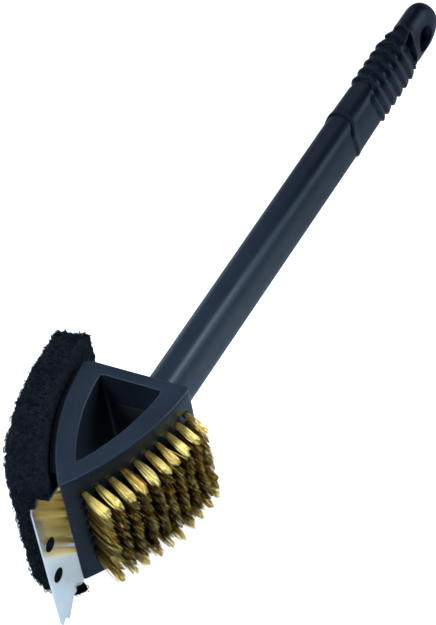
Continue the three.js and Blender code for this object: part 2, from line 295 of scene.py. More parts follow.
def moulded_plastic():
    """Blue-black moulding: fine spark-eroded grain over faint flow mottling."""
    n = Nodes("moulded_plastic")
    mottle = n.grain(n.place(), 38, 4)
    body = n.ramp(mottle, (0.3, (0.003, 0.005, 0.0105)), (0.7, (0.0046, 0.0078, 0.0155)))
    fine = n.grain(n.place(), 2600, 2)
    soft = n.grain(n.place(), 120, 3)
    normal = n.bump(fine, 0.22, 0.0002, n.bump(soft, 0.12, 0.0006))
    return n.set(
        Base_Color=body,
        Roughness=n.level(mottle, 0.4, 0.48, 0.3, 0.7),
        Specular_IOR_Level=0.33,
        Specular_Tint=(0.56, 0.78, 1.0),
        Normal=normal,
    )


def backing_plastic():
    """The duller black plate that the pad is bonded to."""
    n = Nodes("backing_plastic")
    mottle = n.grain(n.place(), 90)
    return n.set(
        Base_Color=n.ramp(mottle, (0.3, (0.0015, 0.0018, 0.0026)), (0.7, (0.003, 0.0036, 0.005))),
        Roughness=0.8,
        Specular_IOR_Level=0.06,
        Normal=n.bump(n.grain(n.place(), 1500), 0.3, 0.0002),
    )


def pad_core():
    """The dense inside of the fibre pad, seen between the outer fibres."""
    n = Nodes("pad_core")
    lumps = n.grain(n.place(), 420, 4, 0.7)
    return n.set(
        Base_Color=n.ramp(lumps, (0.35, (0.0008, 0.001, 0.0017)), (0.7, (0.0034, 0.0046, 0.008))),
        Specular_IOR_Level=0.2,
        Roughness=0.9,
        Specular_Tint=(0.5, 0.7, 1.0),
        Normal=n.bump(lumps, 1.0, 0.0012),
    )


def pad_fibre():
    """Black nylon fibre: a few fibres in the mat are paler than the rest."""
    n = Nodes("pad_fibre")
    black, usual, pale = (0.0008, 0.0011, 0.002), (0.0018, 0.0026, 0.0056), (0.0075, 0.011, 0.021)
    return n.set(
        Base_Color=n.ramp(n.attribute("tone"), (0.0, black), (0.6, usual), (1.0, pale)),
        Roughness=0.55,
        Specular_IOR_Level=0.15,
        Specular_Tint=(0.5, 0.7, 1.0),
    )


def brass_wire():
    """Drawn brass: each wire has its own tone, and wires that others hide are darkened with a painted
    shade.
    """
    n = Nodes("brass_wire")
    tone = n.attribute("tone")
    brown, brass, bright = (0.42, 0.2, 0.025), (0.84, 0.65, 0.19), (0.98, 0.88, 0.4)
    # The dark brown that the depth attribute mixes in is a painted shade: the shadow that falls between
    # the tufts.
    painted_tuft_shade = (0.03, 0.011, 0.002)
    wire = n.ramp(tone, (0.0, brown), (0.5, brass), (1.0, bright))
    return n.set(
        Base_Color=n.mixed(n.attribute("depth"), wire, painted_tuft_shade),
        Metallic=1.0,
        Specular_Tint=(1.0, 0.78, 0.36),
        Roughness=n.level(tone, 0.42, 0.28),
    )


def stainless_sheet():
    """Rolled sheet: long fine scratches across the width, and cloudy patches."""
    n = Nodes("stainless_sheet")
    rolled = n.grain(n.stretched(900, 900, 40), 1, 3)
    cloud = n.grain(n.place(), 60, 4)
    return n.set(
        Base_Color=n.ramp(cloud, (0.3, (0.86, 0.88, 0.9)), (0.7, (0.97, 0.98, 0.98))),
        Metallic=1.0,
        Roughness=n.level(cloud, 0.1, 0.2, 0.3, 0.7),
        Normal=n.bump(rolled, 0.06, 0.0002),
    )


def zinc_steel():
    """Zinc-plated screws, hidden under the pad."""
    n = Nodes("zinc_steel")
    cloud = n.grain(n.place(), 300, 3)
    return n.set(
        Base_Color=n.ramp(cloud, (0.3, (0.42, 0.43, 0.44)), (0.7, (0.56, 0.57, 0.58))),
        Metallic=1.0,
        Roughness=n.level(cloud, 0.3, 0.45),
        Normal=n.bump(n.grain(n.place(), 1800), 0.15, 0.0001),
    )


def painted_shade_steel():
    """Steel drawn near-black as painted shade: the fixings inside the head's hollow, and the walls of the
    blade's holes.
    """
    n = Nodes("painted_shade_steel")
    cloud = n.grain(n.place(), 200)
    return n.set(
        Base_Color=n.ramp(cloud, (0.3, (0.005, 0.006, 0.008)), (0.7, (0.009, 0.011, 0.014))),
        Specular_IOR_Level=0.05,
        Roughness=0.7,
    )


PLASTIC = moulded_plastic()
BACKING = backing_plastic()
PAD_CORE = pad_core()
PAD_FIBRE = pad_fibre()
BRASS = brass_wire()
STAINLESS = stainless_sheet()
ZINC = zinc_steel()
PAINTED_SHADE_STEEL = painted_shade_steel()


# ------------------------------------------------------------------------ mesh helpers
def make_piece(name, points, faces, material, slot, **attributes):
    """A new object from points in the head's millimetres, riding on the one body. Each
    attribute is a number for every point, which the material can read by its name."""
    mesh = bpy.data.meshes.new(name)
    mesh.from_pydata(in_frame(points).tolist(), [], faces)
    for key, values in attributes.items():
        layer = mesh.attributes.new(key, "FLOAT", "POINT")
        layer.data.foreach_set("value", np.asarray(values, np.float32))
    mesh.materials.append(material)
    mesh.validate()
    piece = bpy.data.objects.new(name, mesh)
    bpy.context.scene.collection.objects.link(piece)
    mesh.shade_smooth()
    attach(piece, "root")
    return piece


def sharpen(piece, degrees):
    """Smooth shading, with hard edges where faces meet at more than this angle."""
    piece.data.set_sharp_from_angle(angle=math.radians(degrees))


def weld(piece):
    """Joins points that lie on each other, so the skin closes along its middle line."""
    touching = 0.02 * MM
    skin = bmesh.new()
    skin.from_mesh(piece.data)
    bmesh.ops.remove_doubles(skin, verts=skin.verts, dist=touching)
    skin.to_mesh(piece.data)
    skin.free()


def smoothstep(low, high, value):
    """0 at `low` and 1 at `high`, with a soft start and end."""
    t = np.clip((value - low) / (high - low), 0, 1)
    return t * t * (3 - 2 * t)


def ring_faces(rings, count, closed_rings=False):
    """Quads between consecutive rings of `count` points each."""
    faces = []
    for i in range(rings if closed_rings else rings - 1):
        here, after = i * count, ((i + 1) % rings) * count
        for j in range(count):
            k = (j + 1) % count
            faces.append((here + j, here + k, after + k, after + j))
    return faces


# ------------------------------------------------------------------------ head outline
class BowedSide:
    """The arc from the nose to a back corner. u is 0 at the nose and 1 at the corner."""

    def __init__(self, nose_x, back_x, corner_y, bow):
        along = Vector((back_x - nose_x, corner_y))
        half = along.length / 2
        self.along = along.normalized()
        self.out = Vector((-self.along.y, self.along.x)) * math.copysign(1, corner_y)
        self.radius = (half * half + bow * bow) / (2 * bow)
        self.reach = math.asin(half / self.radius)
        self.centre = Vector(((nose_x + back_x) / 2, corner_y / 2)) + self.out * (bow - self.radius)
        self.length = 2 * self.reach * self.radius

    def normal(self, u):
        angle = (2 * u - 1) * self.reach
        return self.along * math.sin(angle) + self.out * math.cos(angle)

    def point(self, u, stand=0.0):
        return self.centre + self.normal(u) * (self.radius + stand)


brush_side = BowedSide(0, HEAD_LENGTH, -BACK_HALF_HEIGHT, SIDE_BOW)
pad_side = BowedSide(0, HEAD_LENGTH, BACK_HALF_HEIGHT, SIDE_BOW)

COLUMN_PITCH = (LAST_COLUMN - FIRST_COLUMN) / (COLUMNS - 1)
FIELD_START = FIRST_COLUMN - COLUMN_PITCH / 2
FIELD_END = LAST_COLUMN + COLUMN_PITCH / 2
ROW_PITCH = ROW_SPAN / (ROWS - 1)
CELL = 4  # divisions of the wall's grid along each side of a tuft's cell
NOSE_MARGIN = 3  # divisions from the nose's round to the first cells
WALL_MARGIN = 2  # divisions from a rim to the first cells
NOSE_STEPS = 8
CORNER_STEPS = 7
BACK_STEPS = 16


def column_place(column):
    """How far along the brush side a column of tufts stands, from 0 to 1."""
    return FIRST_COLUMN + column * COLUMN_PITCH


def row_place(row):
    """How far across the width a row of tufts stands, in mm from the middle."""
    return row * ROW_PITCH - ROW_SPAN / 2


def side_places(first, last):
    """Places along a bowed side, with the grid lines that the tuft cells need."""
    field = np.linspace(FIELD_START, FIELD_END, COLUMNS * CELL + 1)
    nose = np.linspace(first, FIELD_START, NOSE_MARGIN + 1)[:-1]
    return [*nose, *field, last]


def quadratic(start, control, end, count):
    """The inner points of a quadratic curve."""
    steps = np.linspace(0, 1, count + 1)[1:-1]
    return [start * (1 - t) ** 2 + control * (2 * t * (1 - t)) + end * t * t for t in steps]


def triangle_loop(nose_x, back_x, half_height, bow, nose_round, corner_round):
    """The bowed triangle as one loop: brush side, back wall, pad side, nose."""
    lower = BowedSide(nose_x, back_x, -half_height, bow)
    upper = BowedSide(nose_x, back_x, half_height, bow)
    first, last = nose_round / lower.length, 1 - corner_round / lower.length
    places = side_places(first, last)
    low = [lower.point(u) for u in places]
    high = [upper.point(u) for u in reversed(places)]
    low_corner = Vector((back_x, -half_height))
    high_corner = Vector((back_x, half_height))
    start = low_corner + Vector((0, corner_round))
    end = high_corner - Vector((0, corner_round))
    back = [start.lerp(end, t) for t in np.linspace(0, 1, BACK_STEPS + 1)]
    loop = [
        *low,
        *quadratic(low[-1], low_corner, start, CORNER_STEPS),
        *back,
        *quadratic(end, high_corner, high[0], CORNER_STEPS),
        *high,
        *quadratic(high[-1], Vector((nose_x, 0)), low[0], NOSE_STEPS),
    ]
    return np.array([tuple(p) for p in loop])


def outward(loop):
    """Unit normals of a closed loop that runs anticlockwise seen from +z."""
    ahead = np.roll(loop, -1, 0) - loop
    behind = loop - np.roll(loop, 1, 0)
    ahead /= np.linalg.norm(ahead, axis=1)[:, None]
    behind /= np.linalg.norm(behind, axis=1)[:, None]
    tangent = ahead + behind
    tangent /= np.linalg.norm(tangent, axis=1)[:, None]
    return np.stack([tangent[:, 1], -tangent[:, 0]], 1)


# -------------------------------------------------------------------------- head frame
NOSE_ROUND = 3.5
CORNER_ROUND = 4.5
HOLLOW_ROUND = 2.5
RIM_ROUND = 1.1
HOLLOW_RIM_ROUND = 0.6
RIM_STEPS = 5
HOLLOW_STEPS = 12
END_FACE_STEPS = (0.25, 0.5, 0.75)

HOLE_RADIUS = 2.0
HOLE_LIP = 0.35
HOLE_DEPTH = 4.0
SOCKET_RINGS = (  # radius and depth
    (HOLE_RADIUS + HOLE_LIP, 0.0),
    (HOLE_RADIUS, HOLE_LIP),
    (HOLE_RADIUS, HOLE_DEPTH / 2),
    (HOLE_RADIUS, HOLE_DEPTH),
)


def tuft_direction():
    return np.array([-math.sin(TUFT_TILT), -math.cos(TUFT_TILT), 0.0])


def head_rings(outer, inner):
    """Rings of the frame's skin: up the outer wall, over the end face, down through the
    hollow and back over the other end face. `end` is 1 or -1, the end of the width."""
    outer_normal, inner_normal = outward(outer), outward(inner)
    rim_outer = outer - outer_normal * RIM_ROUND
    rim_inner = inner + inner_normal * HOLLOW_RIM_ROUND

    def rounded(loop, shift, radius, angle, end):
        inset = radius * (1 - math.cos(angle))
        return loop + shift * inset, end * (HEAD_HALF_WIDTH - radius * (1 - math.sin(angle)))

    def on_end_face(t, end):
        return rim_outer * (1 - t) + rim_inner * t, end * HEAD_HALF_WIDTH

    wall = HEAD_HALF_WIDTH - RIM_ROUND
    field = (ROW_SPAN + ROW_PITCH) / 2
    wall_z = [
        *np.linspace(-wall, -field, WALL_MARGIN + 1)[:-1],
        *np.linspace(-field, field, ROWS * CELL + 1),
        *np.linspace(field, wall, WALL_MARGIN + 1)[1:],
    ]
    hollow = HEAD_HALF_WIDTH - HOLLOW_RIM_ROUND
    quarter = np.linspace(0, math.pi / 2, RIM_STEPS)
    rings = [(outer, z) for z in wall_z]
    rings += [rounded(outer, -outer_normal, RIM_ROUND, a, 1) for a in quarter[1:]]
    rings += [on_end_face(t, 1) for t in END_FACE_STEPS]
    rings += [rounded(inner, inner_normal, HOLLOW_RIM_ROUND, a, 1) for a in quarter[::-1]]
    rings += [(inner, z) for z in np.linspace(hollow, -hollow, HOLLOW_STEPS)[1:-1]]
    rings += [rounded(inner, inner_normal, HOLLOW_RIM_ROUND, a, -1) for a in quarter]
    rings += [on_end_face(t, -1) for t in reversed(END_FACE_STEPS)]
    rings += [rounded(outer, -outer_normal, RIM_ROUND, a, -1) for a in quarter[:0:-1]]
    return [np.column_stack([loop, np.full(len(loop), z)]) for loop, z in rings]


def cell_edge(column, row):
    """The grid places, as (ring, step), round the cell of one tuft."""
    i, j = WALL_MARGIN + row * CELL, NOSE_MARGIN + column * CELL
    steps = range(CELL)
    return (
        [(i, j + k) for k in steps]
        + [(i + k, j + CELL) for k in steps]
        + [(i + CELL, j + CELL - k) for k in steps]
        + [(i + CELL - k, j) for k in steps]
    )


def add_socket(column, row, edge, points):
    """Closes the cell's edge, given as point numbers, on a round blind hole. The new
    points join `points`, and the new faces are returned."""
    direction = tuft_direction()
    sides = len(edge)
    first_corner = math.radians(-135)
    faces = []
    previous = edge
    for radius, depth in SOCKET_RINGS:
        current = list(range(len(points), len(points) + sides))
        for k in range(sides):
            a = first_corner + 2 * math.pi * k / sides
            spot = brush_side.point(column_place(column) + radius * math.cos(a) / brush_side.length)
            mouth = np.array([spot.x, spot.y, row_place(row) + radius * math.sin(a)])
            points.append(mouth - direction * depth)
            after = (k + 1) % sides
            faces.append((previous[k], previous[after], current[after], current[k]))
        previous = current
    faces.append(tuple(previous))
    return faces


def make_head():
    """The frame's closed skin of quads, with a round socket for every tuft."""
    outer = triangle_loop(0, HEAD_LENGTH, BACK_HALF_HEIGHT, SIDE_BOW, NOSE_ROUND, CORNER_ROUND)
    inner = triangle_loop(
        HOLLOW_NOSE, HEAD_LENGTH - BACK_WALL, HOLLOW_HALF_HEIGHT, HOLLOW_BOW, HOLLOW_ROUND, HOLLOW_ROUND
    )
    rings = head_rings(outer, inner)
    count = len(outer)
    points = list(np.concatenate(rings))
    quads = {}
    for index, face in enumerate(ring_faces(len(rings), count, closed_rings=True)):
        quads[divmod(index, count)] = face
    socket_faces = []
    for column in range(COLUMNS):
        for row in range(ROWS):
            edge = cell_edge(column, row)
            ring, step = edge[0]
            for i in range(CELL):
                for j in range(CELL):
                    del quads[(ring + i, step + j)]
            edge_points = [i * count + j for i, j in edge]
            socket_faces += add_socket(column, row, edge_points, points)
    faces = [*quads.values(), *socket_faces]
    head = make_piece("head_body", points, faces, PLASTIC, "moulded_plastic")
    sharpen(head, 50)
    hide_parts("head_frame")


# ------------------------------------------------------------------------------ handle
SECTION_COUNT = 144
BODY_STEP = 6.0
GRIP_STEP = 0.42
KNOB_STEPS = 12
TIP_STEPS = 26

# The collar at the back wall: how far behind the wall, and how far proud of the shaft.
COLLAR = ((0.3, 0.2), (0.3, 1.0), (1.0, 1.2), (2.6, 1.2), (3.4, 1.0), (3.9, 0.5), (4.6, 0.1))
SHAFT_START = HEAD_LENGTH + 6

RELIEF_START = 305.0
RIB_START = 312.2
BAND_START = 340.4  # where the first full band's groove meets the upper corner
BAND_PITCH = 7.85
BANDS = 5  # full bands on a broad face, before its crescent pit
BAND_HEIGHT = 1.15
SHORT_BAND = 5.6
SHORT_BAND_HEIGHT = 1.2
GROOVE_WIDTH = 0.85
GROOVE_DEPTH = 0.8
SEAM_DEPTH = 0.5
PIT_GAP = 1.6
PIT_DEPTH = 3.8
FACE_SLANT = 0.38
SIDE_ARCH = 6.4
RIB_ARCH = 3.6
GRIP_CORNER = 13.0
KNOB_START = 391.0
KNOB_ARCH = 6.0
KNOB_SKEW = 2.4  # how much further the bands run on the pad's side
KNOB_SLANT = 0.07
KNOB_CENTRE = HANDLE_END - KNOB_RADIUS


def section_point(angle, half_width, half_thickness, power=SECTION_POWER):
    """A point of the soft-cornered oval: y through the thickness, z across."""
    c, s = math.cos(angle), math.sin(angle)
    z = math.copysign(abs(c) ** (2 / power), c) * half_width
    y = math.copysign(abs(s) ** (2 / power), s) * half_thickness
    return y, z


def arch(y, z):
    """How far a groove bows towards the knob. On the narrow side that faces up it is 1 in
    the middle, 0.6 at the pad side's corner and 0 at the bristle side's. On the narrow
    side that faces down it bows 0.4 times as far."""
    off_middle = np.abs(y / 8.6)
    fall = np.where(y > 0, 0.4 * off_middle ** 1.3, off_middle ** 2)
    return np.clip(1 - fall, 0, 1) * (0.4 + 0.6 * smoothstep(-8, 8, z))


def slant(z):
    """How far a groove has moved along by z, as it crosses a broad face."""
    return FACE_SLANT * (GRIP_CORNER - np.clip(z, -GRIP_CORNER, GRIP_CORNER))


def dip(distance, width):
    """A rounded dip or swelling: 1 in its middle, and about 0 at twice its width."""
    return np.exp(-((distance / width) ** 2))


def full_bands(local):
    """Each full band has a groove, a quick rise to a rounded crest, and a long slope
    down towards the knob."""
    phase = np.mod(local, BAND_PITCH)
    tooth = smoothstep(0, 2.4, phase) * (1 - 0.7 * smoothstep(1.8, BAND_PITCH, phase))
    groove = dip(np.minimum(phase, BAND_PITCH - phase), GROOVE_WIDTH) * (local > -BAND_PITCH / 2)
    return np.where(local > 0, BAND_HEIGHT * tooth, 0) - GROOVE_DEPTH * groove


def short_band(local, y, z):
    """The band before the full ones is shorter, and fades before the upper corner."""
    on_face = smoothstep(12.6, 9.5, z + np.where(y > 0, 6, 0))
    run = (local + SHORT_BAND) / SHORT_BAND
    leaf = smoothstep(0, 0.22, run) * (1 - 0.8 * smoothstep(0.25, 1, run)) * (run < 1)
    return on_face * (SHORT_BAND_HEIGHT * leaf - 0.9 * dip(local + SHORT_BAND, GROOVE_WIDTH))


def corner_seam(local, z):
    """The slanting crease where a band turns from a broad face to the upper narrow side."""
    phase = np.mod(local, BAND_PITCH)
    line = 12.2 - 0.45 * np.clip(phase - 3, 0, BAND_PITCH)
    fade = smoothstep(3.0, 4.5, phase) * (1 - smoothstep(7.0, BAND_PITCH, phase))
    return dip(z - line, 1.0) * fade * (local > -SHORT_BAND) * (z > 0)


def ring_rib(x, y, z):
    """The ring where the grip starts: a groove, then a step that soon sinks to half its
    height, and fades before the knob."""
    bend = 3.3 * smoothstep(GRIP_CORNER, 6, z) - 0.22 * np.clip(6 - z, 0, 20)
    past = x - (RIB_START + RIB_ARCH * arch(y, z) - bend)
    step = smoothstep(0, 1.0, past) * (0.45 + 0.45 * (1 - smoothstep(1.0, 6, past)))
    step = step * (1 - smoothstep(KNOB_START - 12, KNOB_START, x))
    return step - 0.8 * dip(past, 0.8)


def grip_relief(x, y, z):
    """What the grip adds to the plain section: its bands, the crescent pit in each broad
    face between the last band and the knob, and the ring rib."""
    local = x - BAND_START - slant(z) - SIDE_ARCH * arch(y, z)
    bands = full_bands(local) + short_band(local, y, z) - SEAM_DEPTH * corner_seam(local, z)

    knob_line = KNOB_START + KNOB_ARCH * arch(y, z) + KNOB_SKEW * smoothstep(0, 8, y)
    knob_line = knob_line + KNOB_SLANT * (GRIP_CORNER - z)
    in_grip = 1 - smoothstep(-0.3, 0.5, x - knob_line)
    pit_line = BAND_START + BANDS * BAND_PITCH + slant(z) + PIT_GAP
    pit = smoothstep(0, 1.0, x - pit_line) * smoothstep(12.8, 11.4, z) * (np.abs(y) > 4)
    pit = pit * (1 - smoothstep(-0.8, 0.3, x - knob_line))
    return bands * in_grip * (1 - pit) - PIT_DEPTH * pit + ring_rib(x, y, z)


def knob_half_width(x):
    return math.sqrt(max(KNOB_RADIUS ** 2 - max(x - KNOB_CENTRE, 0) ** 2, 0))


def handle_stations():
    """Places along the handle for its rings, closest where the grip's relief is."""
    body = np.arange(SHAFT_START, RELIEF_START, BODY_STEP)
    grip = np.arange(RELIEF_START, KNOB_START + 10, GRIP_STEP)
    knob = np.linspace(grip[-1], KNOB_CENTRE, KNOB_STEPS)[1:]
    tip = KNOB_CENTRE + KNOB_RADIUS * np.sin(np.linspace(0, math.pi / 2, TIP_STEPS))[1:-1]
    return [*body, *grip, *knob, *tip]


def handle_half_sizes(x):
    """Plain half width and half thickness of the handle at x, and its section's power."""

    def blend(first, second, start, end):
        return first + (second - first) * float(smoothstep(start, end, x))

    knob_width = knob_half_width(x)
    width = blend(HANDLE_HALF_WIDTH, GRIP_HALF_WIDTH, GRIP_START, GRIP_START + 30)
    thick = blend(HANDLE_HALF_THICKNESS, GRIP_HALF_THICKNESS, GRIP_START, GRIP_START + 30)
    width = blend(width, knob_width, KNOB_START + 3, KNOB_START + 9)
    thick = blend(thick, KNOB_HALF_THICKNESS, KNOB_START - 2, KNOB_START + 6)
    power = blend(SECTION_POWER, KNOB_POWER, KNOB_START - 4, KNOB_START + 6)
    return width, thick * (knob_width / KNOB_RADIUS) ** 0.5, power


def make_handle():
    """Rings from the collar to the tip, closed at both ends, with the hole drilled last."""
    angles = np.linspace(0, 2 * math.pi, SECTION_COUNT, endpoint=False)
    rings = []
    for behind, proud in COLLAR:
        sizes = (HANDLE_HALF_WIDTH + proud, HANDLE_HALF_THICKNESS + proud)
        rings.append([(HEAD_LENGTH + behind, *section_point(a, *sizes)) for a in angles])
    for x in handle_stations():
        width, thick, power = handle_half_sizes(x)
        plain = np.array([section_point(a, width, thick, power) for a in angles])
        height = np.zeros(SECTION_COUNT)
        if x >= RELIEF_START:
            height = grip_relief(x, plain[:, 0], plain[:, 1])
        rings.append([(x, *section_point(a, width + h, thick + h, power)) for a, h in zip(angles, height)])
    points = [p for ring in rings for p in ring]
    faces = [tuple(reversed(f)) for f in ring_faces(len(rings), SECTION_COUNT)]
    first, last = len(points), len(points) + 1
    points += [(HEAD_LENGTH + COLLAR[0][0], 0, 0), (HANDLE_END, 0, 0)]
    last_ring = (len(rings) - 1) * SECTION_COUNT
    for j in range(SECTION_COUNT):
        k = (j + 1) % SECTION_COUNT
        faces.append((first, j, k))
        faces.append((last, last_ring + k, last_ring + j))
    handle = make_piece("handle_moulding", points, faces, PLASTIC, "moulded_plastic")
    drill(handle)
    sharpen(handle, 55)
    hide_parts("handle")


def drill(handle):
    """The hanging hole, with its edges eased on both faces."""
    # y and radius, from outside the handle to the straight bore
    eased = [(-12, 8.6), (-7.4, 7.6), (-6.4, 6.75), (-5.4, HANGING_HOLE_RADIUS)]
    profile = [*eased, *((-y, radius) for y, radius in reversed(eased))]
    sides = 64
    points = []
    for y, radius in profile:
        for k in range(sides):
            a = 2 * math.pi * k / sides
            points.append((HANGING_HOLE_X + radius * math.cos(a), y, radius * math.sin(a)))
    faces = [tuple(reversed(face)) for face in ring_faces(len(profile), sides)]
    faces.append(tuple(range(sides)))
    faces.append(tuple(reversed(range(len(points) - sides, len(points)))))
    mesh = bpy.data.meshes.new("hanging_hole_cutter")
    mesh.from_pydata(in_frame(points).tolist(), [], faces)
    cutter = bpy.data.objects.new("hanging_hole_cutter", mesh)
    bpy.context.scene.collection.objects.link(cutter)
    cut = handle.modifiers.new("hanging_hole", "BOOLEAN")
    cut.operation = "DIFFERENCE"
    cut.object = cutter
    apply_modifiers(handle)
    bpy.data.objects.remove(cutter)


def apply_modifiers(piece):
    graph = bpy.context.evaluated_depsgraph_get()
    done = bpy.data.meshes.new_from_object(piece.evaluated_get(graph))
    old = piece.data
    piece.modifiers.clear()
    piece.data = done
    bpy.data.meshes.remove(old)


# ---------------------------------------------------------------------------- bristles
def tubes(paths, radii, sides):
    """Bars with this many sides along many paths at once. paths is (n, steps, 3), radii
    (n, steps). Returns points, faces and, for each point, its bar and its step."""
    n, steps, _ = paths.shape
    tangent = np.gradient(paths, axis=1)
    tangent /= np.linalg.norm(tangent, axis=2)[:, :, None]
    helper = np.where(np.abs(tangent[:, :1, 2:3]) < 0.9, np.array([0.0, 0, 1]), np.array([1.0, 0, 0]))
    side = np.cross(tangent, np.broadcast_to(helper, tangent.shape))
    side /= np.linalg.norm(side, axis=2)[:, :, None]
    other = np.cross(tangent, side)
    angle = np.linspace(0, 2 * math.pi, sides, endpoint=False)
    spread = side[:, :, None] * np.cos(angle)[:, None] + other[:, :, None] * np.sin(angle)[:, None]
    points = (paths[:, :, None] + spread * radii[:, :, None, None]).reshape(-1, 3)
    one = [tuple(f) for f in ring_faces(steps, sides)]
    one.append(tuple(reversed(range(sides))))
    one.append(tuple(range((steps - 1) * sides, steps * sides)))
    size = steps * sides
    faces = [tuple(v + bar * size for v in face) for bar in range(n) for face in one]
    bar = np.repeat(np.arange(n), size)
    step = np.tile(np.repeat(np.arange(steps), sides), n)
    return points, faces, bar, step


GOLDEN_ANGLE = 2.39996  # radians: wires placed at this turn fill a disc evenly
WIRE_BURIED = 3.2
WIRE_STEPS = 6
MIDDLE_WIRE_EXTRA = 1.2
OUTER_WIRE_LOSS = 4.2
WIRE_LEAN = 0.022
STRAY_CHANCE = 0.03
STRAY_LEAN = 0.13
# Some wires get only a share of the painted shade: how often, and how much.
LESS_SHADED_CHANCE = 0.12
LESS_SHADED_SHARE = 0.4


def painted_tuft_shade(column, row):
    """How much painted shade a tuft gets: none on the outer rows, more on the end columns, and most inside
    the field, where the tufts shade each other.
    """
    if row in (0, ROWS - 1):
        return 0.0
    if column in (0, COLUMNS - 1):
        return 0.6
    return 0.97


def make_bristle_column(column):
    """Eight tufts across the width, each of loose wires that spread towards the tip."""
    first_length, last_length = TUFT_LENGTHS
    length = first_length + (last_length - first_length) * column / (COLUMNS - 1)
    direction = tuft_direction()
    across = np.array([0.0, 0, 1])
    sideways = np.cross(direction, across)
    root = brush_side.point(column_place(column))
    paths, tones, tuft_shade_share = [], [], []
    for row in range(ROWS):
        foot = np.array([root.x, root.y, row_place(row)])
        lean = rng.normal(0, WIRE_LEAN, 2)
        twist = rng.uniform(-0.5, 0.5)
        # A tuft's tone varies at random, and the outer rows are also made brighter and the inner ones
        # browner, as painted light and shade.
        tuft_shade_and_tone = rng.uniform(-0.25, 0.25) + (0.15 if row in (0, ROWS - 1) else -0.1)
        for k in range(WIRES):
            radius = math.sqrt((k + 0.5) / WIRES)
            angle = k * GOLDEN_ANGLE + twist
            spot = np.array([math.cos(angle), math.sin(angle)]) * radius + rng.normal(0, 0.05, 2)
            slope = rng.normal(0, WIRE_LEAN, 2) + lean
            slope += (rng.random() < STRAY_CHANCE) * rng.normal(0, STRAY_LEAN, 2)
            free = length + MIDDLE_WIRE_EXTRA + rng.normal(0, 0.5) - OUTER_WIRE_LOSS * radius ** 1.5
            bow = rng.normal(0, 0.35, 2)
            path = []
            for t in np.linspace(0, 1, WIRE_STEPS):
                along = (free + WIRE_BURIED) * t - WIRE_BURIED
                above = max(along, 0)
                fan = math.sin(0.62 * math.pi * above / length)
                wide = TUFT_ROOT_RADIUS + (TUFT_TIP_RADIUS - TUFT_ROOT_RADIUS) * fan
                offset = spot * wide + slope * above + bow * math.sin(math.pi * t)
                path.append(foot + direction * along + across * offset[0] + sideways * offset[1])
            paths.append(path)
            tones.append(np.clip(rng.normal(0.5, 0.28) + tuft_shade_and_tone, 0, 1))
            # A few wires at random get less of the painted shade.
            share = LESS_SHADED_SHARE if rng.random() < LESS_SHADED_CHANCE else 1.0
            tuft_shade_share.append(painted_tuft_shade(column, row) * share)
    radii = np.full((len(paths), WIRE_STEPS), WIRE_RADIUS)
    points, faces, bar, step = tubes(np.array(paths), radii, 4)
    tone = np.array(tones)[bar]
    below_tip = (1 - step / (WIRE_STEPS - 1)) * length
    # depth is the painted shade on each point of a wire, a little less at its tip.
    depth = np.array(tuft_shade_share)[bar] * np.clip(0.72 + below_tip / 6, 0, 1)
    name = f"brass_tufts_{column + 1:02d}"
    tufts = make_piece(name, points, faces, BRASS, "brass_wire", tone=tone, depth=depth)
    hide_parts(f"bristle_column_{column + 1:02d}")


# --------------------------------------------------------------------------------- pad
# The outer face, from the back end round to the soft end under the blade.
PAD_OUTLINE = (
    (95.5, 54.8), (84, 54.4), (66, 53.2), (45, 50),
    (21, 42), (3, 33.4), (-8.4, 24.5), (-12.2, 12),
)
PAD_FRONT = ((-8.6, 2.2), (-5, 2.2))
PAD_END_RISE = 0.6
PAD_END_LEAN = 2.6
PAD_END_HEIGHT = 53.4
PAD_SECTION_COUNT = 190
PAD_SPINE_STAND = PAD_STAND + 12
PAD_RINGS = 46
PAD_ROUND = 5.0
PAD_ROUND_STEPS = 6
PAD_SKIN = 0.6
CORE_SUNK = 0.9
NOSE_BULGE = 8.5
FIBRES = 5200
FIBRE_STEPS = 7


def pad_section():
    """The pad's outline seen from its end: inner face against the backing plate, then
    the far end, the outer face and the soft end under the blade."""
    inner = [tuple(pad_side.point(u, PAD_STAND)) for u in np.linspace(0, 1, 30)]
    end_x, end_y = inner[-1]
    quarters = (0.25, 0.5, 0.75, 1.0)
    overrun = [(end_x + t * PAD_OVERRUN, end_y + t * PAD_END_RISE) for t in quarters]
    rise = PAD_END_HEIGHT - end_y
    far = [(end_x + PAD_OVERRUN - t * PAD_END_LEAN, end_y + t * rise) for t in quarters]
    return even_loop([*PAD_FRONT, *inner, *overrun, *far, *PAD_OUTLINE], PAD_SECTION_COUNT)


def even_loop(points, count):
    """A closed outline resampled to evenly spaced points, gently rounded."""
    p = np.array(points, float)
    for _ in range(2):
        after = np.roll(p, -1, 0)
        p = np.stack([0.75 * p + 0.25 * after, 0.25 * p + 0.75 * after], 1).reshape(-1, 2)
    closed = np.vstack([p, p[:1]])
    run = np.concatenate([[0], np.cumsum(np.linalg.norm(np.diff(closed, axis=0), axis=1))])
    want = np.linspace(0, run[-1], count, endpoint=False)
    return np.column_stack([np.interp(want, run, closed[:, k]) for k in (0, 1)])


def pad_spine(section):
    """For each outline point, the nearest point of a line along the pad's middle."""
    line = [tuple(pad_side.point(u, PAD_SPINE_STAND)) for u in np.linspace(0.04, 1, 40)]
    line.append((line[-1][0] + 6, line[-1][1] + 0.3))
    line = np.array(line)
    nearest = np.linalg.norm(section[:, None] - line[None], axis=2).argmin(1)
    return line[nearest]


